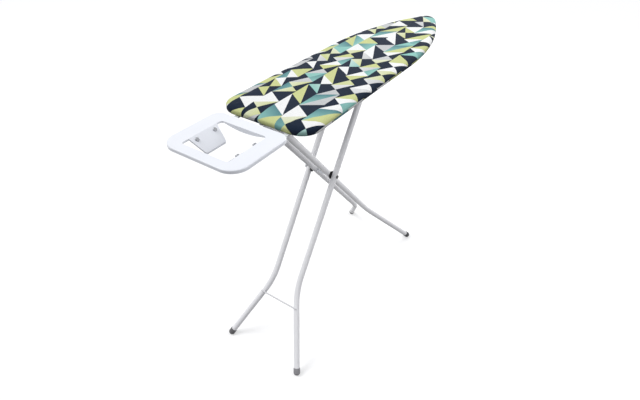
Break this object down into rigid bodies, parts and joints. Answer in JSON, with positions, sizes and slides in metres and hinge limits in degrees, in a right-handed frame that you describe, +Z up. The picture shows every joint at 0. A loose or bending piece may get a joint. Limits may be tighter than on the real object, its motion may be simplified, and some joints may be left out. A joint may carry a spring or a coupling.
{
  "type": "ironing board",
  "caption": "Folding ironing board: padded, printed cloth top with a tapered nose, pressed iron rest at the heel, and crossed bent-tube legs held by a rod in a height rack.",
  "frame": {"origin": "on the floor, under the middle of the whole length and width", "axes": "+X towards the board's nose, +Y towards the side away from the release lever, +Z up"},
  "size_m": [1.2789, 0.323, 0.906],
  "materials": {
    "cover_print": "woven cotton printed with triangles in navy, lime, mint, pale grey and white",
    "pad_felt": "soft felt",
    "white_coat": "smooth white powder coat",
    "zinc_steel": "zinc-plated steel",
    "spring_steel": "blued spring strip",
    "stud_grey": "grey plated stud heads",
    "foot_grey": "mid grey moulded plastic",
    "black_steel": "black-coated steel",
    "black_plastic": "black moulded plastic"
  },
  "bodies": {
    "board": {"cover": "cover_print", "pad": "pad_felt", "deck_sheet": "white_coat", "deck_rim": "white_coat", "heel_bracket": "white_coat", "heel_pin": "zinc_steel", "rack_rail_near": "white_coat", "rack_rail_far": "white_coat", "iron_rest": "white_coat", "rest_arm_near": "white_coat", "rest_arm_far": "white_coat", "rest_studs": "stud_grey", "rest_bolts": "zinc_steel", "lever_pin": "zinc_steel", "lever_spring": "spring_steel"},
    "inner_legs": {"inner_leg_near": "white_coat", "inner_leg_far": "white_coat", "inner_foot_near": "foot_grey", "inner_foot_far": "foot_grey", "heel_sleeve": "zinc_steel", "scissor_axle": "black_steel", "axle_nut": "zinc_steel", "axle_spacers": "black_plastic", "axle_sleeve": "zinc_steel"},
    "outer_legs": {"outer_leg_near": "white_coat", "outer_leg_far": "white_coat", "outer_foot_near": "foot_grey", "outer_foot_far": "foot_grey", "height_rod": "zinc_steel", "rod_caps": "black_plastic", "leg_brace": "white_coat"},
    "lever": {"release_lever": "white_coat", "lever_grip": "foot_grey"}
  },
  "joints": [
    {"name": "leg_fold", "type": "hinge", "parent": "board", "child": "inner_legs", "pos_m": [-0.368, 0, 0.855], "axis": [0, -1, 0], "range_deg": [0, 49.53]},
    {"name": "leg_cross", "type": "hinge", "parent": "inner_legs", "child": "outer_legs", "pos_m": [-0.1315, 0, 0.5778], "axis": [0, 1, 0], "range_deg": [0, 103.4]},
    {"name": "lever_squeeze", "type": "hinge", "parent": "board", "child": "lever", "pos_m": [0.00613, -0.0741, 0.861], "axis": [0, 1, 0], "range_deg": [0, 8], "stiffness_Nm_per_rad": 3, "springref_deg": -8.59, "deforming": ["lever_spring"]}
  ],
  "couplings": [
    {"joint": "leg_cross", "follows": "leg_fold", "ratio": 2.0865}
  ]
}
